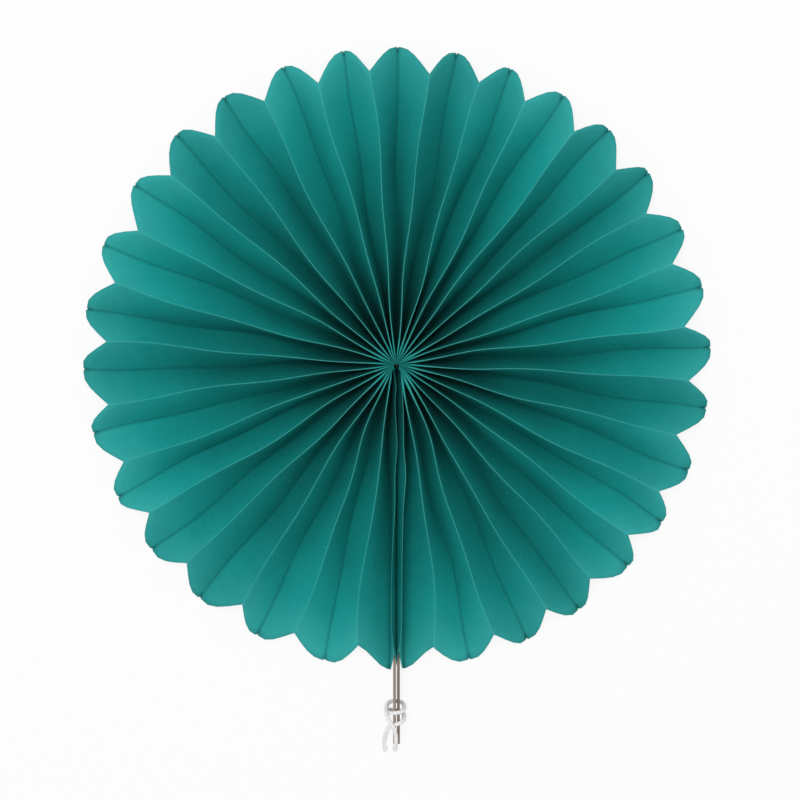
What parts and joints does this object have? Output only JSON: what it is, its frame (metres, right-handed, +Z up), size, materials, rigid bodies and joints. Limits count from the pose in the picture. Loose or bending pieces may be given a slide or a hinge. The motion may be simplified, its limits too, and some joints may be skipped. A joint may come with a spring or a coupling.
{
  "type": "paper fan rosette",
  "caption": "Accordion-folded paper fan opened to a full circle, with a petal-cut rim and two flat end sticks tied together as a handle.",
  "frame": {"origin": "on the table plane that the fan lies on, under the middle of the outline of the paper and sticks", "axes": "+Z up out of the open front pleats, -Y along the sticks towards the end of the handle, +X to the right seen from above"},
  "size_m": [0.2997, 0.3414, 0.02],
  "materials": {
    "teal_paper": "matte",
    "stick_wood": "matte",
    "thread": "matte",
    "white_cord": "matte"
  },
  "bodies": {
    "root": {"pleated_paper": "teal_paper", "left_stick": "stick_wood", "right_stick": "stick_wood", "binding_thread": "thread", "tie_cord": "white_cord"}
  },
  "joints": []
}
